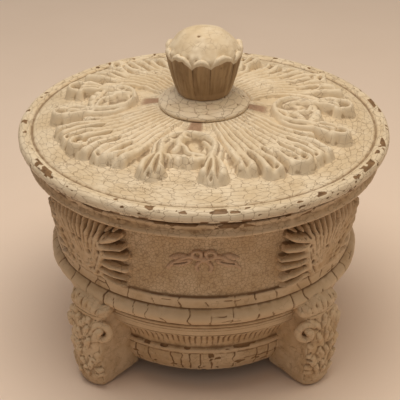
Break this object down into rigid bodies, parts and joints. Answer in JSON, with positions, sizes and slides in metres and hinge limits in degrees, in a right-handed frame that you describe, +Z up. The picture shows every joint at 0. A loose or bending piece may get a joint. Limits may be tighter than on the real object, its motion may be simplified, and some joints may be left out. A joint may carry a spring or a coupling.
{
  "type": "vanity trinket box",
  "caption": "Round footed vanity trinket box with a lift-off domed lid, acanthus relief, fluted knob and a cream crackle finish.",
  "frame": {"origin": "middle of the base, on the surface the feet stand on", "axes": "+Z up along the turned axis, -Y towards the front, the feet on the diagonals"},
  "size_m": [0.146, 0.146, 0.133],
  "materials": {
    "crackle_cream": "hand painted cream crackle over brown, on cast filled resin",
    "relief_cream": "antiqued cream on cast filled resin, brown left in the hollows",
    "antiqued_cup": "brown antiqued resin with cream brushed over the edges",
    "lining_felt": "short pile felt",
    "pad_felt": "dense felt",
    "fastener_steel": "zinc plated"
  },
  "bodies": {
    "box": {"bowl_shell": "crackle_cream", "plinth_ring": "crackle_cream", "bowl_felt": "lining_felt", "wall_felt": "lining_felt", "foot_front_left": "relief_cream", "foot_pad_front_left": "pad_felt", "cartouche_front_left": "relief_cream", "knee_leaf_front_left": "relief_cream", "foot_front_right": "relief_cream", "foot_pad_front_right": "pad_felt", "cartouche_front_right": "relief_cream", "knee_leaf_front_right": "relief_cream", "foot_rear_left": "relief_cream", "foot_pad_rear_left": "pad_felt", "cartouche_rear_left": "relief_cream", "knee_leaf_rear_left": "relief_cream", "foot_rear_right": "relief_cream", "foot_pad_rear_right": "pad_felt", "cartouche_rear_right": "relief_cream", "knee_leaf_rear_right": "relief_cream", "garland_front": "relief_cream", "garland_right": "relief_cream", "garland_rear": "relief_cream", "garland_left": "relief_cream"},
    "lid": {"lid_plate": "crackle_cream", "lid_felt": "lining_felt", "lid_fan_front_left": "relief_cream", "lid_fan_front_right": "relief_cream", "lid_fan_rear_left": "relief_cream", "lid_fan_rear_right": "relief_cream", "lid_scroll_front": "relief_cream", "lid_scroll_right": "relief_cream", "lid_scroll_rear": "relief_cream", "lid_scroll_left": "relief_cream", "knob_collar": "crackle_cream", "knob_cup": "antiqued_cup", "knob_bud": "relief_cream", "knob_washer": "fastener_steel", "knob_screw": "fastener_steel"}
  },
  "joints": [
    {"name": "lid_lift", "type": "slide", "parent": "box", "child": "lid", "axis": [0, 0, 1], "range_m": [0, 0.1]}
  ]
}
